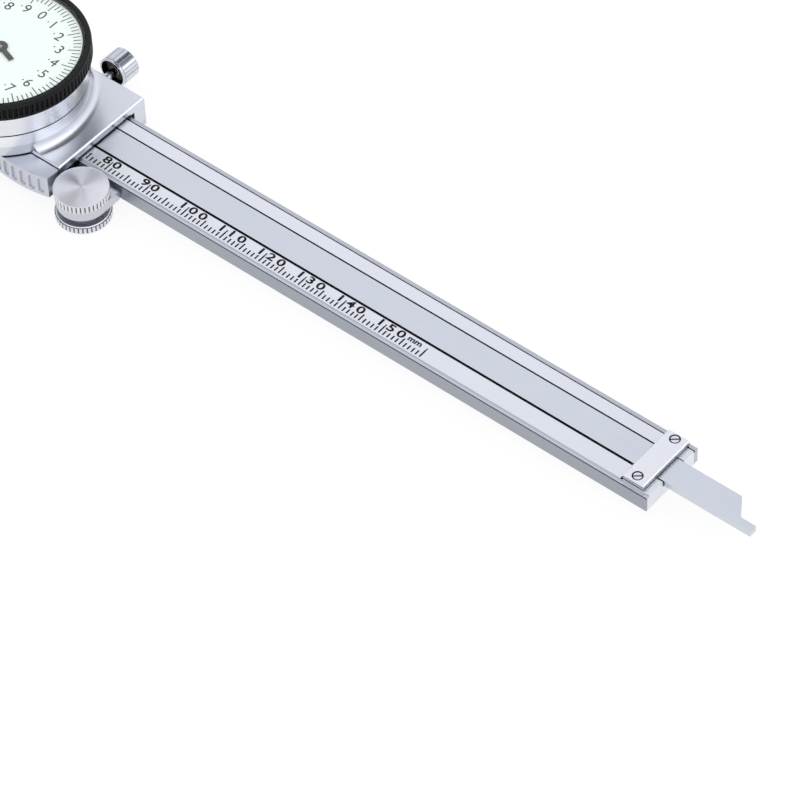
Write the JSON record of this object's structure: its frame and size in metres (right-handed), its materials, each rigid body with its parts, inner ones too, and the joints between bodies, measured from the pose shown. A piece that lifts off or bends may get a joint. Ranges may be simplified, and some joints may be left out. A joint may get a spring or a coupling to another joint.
{
  "type": "dial caliper",
  "caption": "Inside groove dial caliper on its back: stainless beam with long hooked jaws, sliding dial case, thumb wheel, lock screw and depth rod.",
  "frame": {"origin": "on the back of the beam, on its centre line, in the plane where the two jaws meet", "axes": "+X along the beam towards the depth rod's end, +Y across the beam away from the jaws, +Z out of the dial"},
  "size_m": [0.2503, 0.0684, 0.0227],
  "materials": {
    "beam_steel": "satin",
    "case_steel": "brushed",
    "wheel_steel": "turned",
    "small_steel": "satin",
    "brass_parts": "turned",
    "black_bezel": "moulded",
    "dial_print": "matt enamel",
    "pointer_paint": "matt enamel",
    "clear_crystal": "polished"
  },
  "bodies": {
    "beam": {"main_beam": "beam_steel", "rack": "small_steel", "rack_screw_1": "small_steel", "rack_screw_2": "small_steel", "end_plate": "beam_steel", "end_screw_near": "small_steel", "end_screw_far": "small_steel"},
    "slider": {"slider_frame": "case_steel", "case_screw_1": "small_steel", "case_screw_2": "small_steel", "case_screw_3": "small_steel", "case_screw_4": "small_steel", "dial_case": "case_steel", "case_ring": "case_steel", "gib": "small_steel", "gib_screw_1": "small_steel", "gib_screw_2": "small_steel", "depth_rod": "beam_steel", "rod_pin_1": "small_steel", "rod_pin_2": "small_steel", "movement_plate": "brass_parts", "plate_screw_1": "small_steel", "plate_screw_2": "small_steel", "plate_screw_3": "small_steel", "movement_bridge": "brass_parts", "bridge_screw_1": "small_steel", "bridge_screw_2": "small_steel", "bridge_screw_3": "small_steel", "hairspring": "small_steel"},
    "thumb_wheel": {"thumb_wheel_upper": "wheel_steel", "thumb_wheel_lower": "wheel_steel"},
    "lock_screw": {"lock_screw": "wheel_steel"},
    "transfer": {"rack_pinion": "small_steel", "transfer_gear": "brass_parts"},
    "hand": {"pointer_pinion": "small_steel", "pointer": "pointer_paint"},
    "backlash": {"backlash_gear": "brass_parts", "backlash_shaft": "small_steel"},
    "bezel": {"bezel": "black_bezel", "dial_face": "dial_print", "dial_spacer": "black_bezel", "crystal": "clear_crystal"}
  },
  "joints": [
    {"name": "slider_slide", "type": "slide", "parent": "beam", "child": "slider", "axis": [1, 0, 0], "range_m": [-0.0196, 0.1304]},
    {"name": "thumb_wheel_turn", "type": "hinge", "parent": "slider", "child": "thumb_wheel", "pos_m": [0.08015, -0.01345, 0], "axis": [0, 0, 1], "continuous": true},
    {"name": "lock_screw_turn", "type": "hinge", "parent": "slider", "child": "lock_screw", "pos_m": [0.0615, 0.016, 0.0018], "axis": [0, 1, 0], "continuous": true},
    {"name": "transfer_turn", "type": "hinge", "parent": "slider", "child": "transfer", "pos_m": [0.04815, 0.0002, 0], "axis": [0, 0, 1], "continuous": true},
    {"name": "hand_turn", "type": "hinge", "parent": "slider", "child": "hand", "pos_m": [0.052, -0.0044, 0], "axis": [0, 0, 1], "continuous": true},
    {"name": "backlash_turn", "type": "hinge", "parent": "slider", "child": "backlash", "pos_m": [0.058, -0.0044, 0], "axis": [0, 0, 1], "continuous": true},
    {"name": "bezel_turn", "type": "hinge", "parent": "slider", "child": "bezel", "pos_m": [0.052, -0.0044, 0], "axis": [0, 0, 1], "continuous": true}
  ],
  "couplings": [
    {"joint": "thumb_wheel_turn", "follows": "slider_slide", "rad_per_m": 181.8},
    {"joint": "transfer_turn", "follows": "slider_slide", "rad_per_m": 628.32},
    {"joint": "hand_turn", "follows": "slider_slide", "rad_per_m": -3141.6},
    {"joint": "backlash_turn", "follows": "slider_slide", "rad_per_m": 628.32}
  ]
}
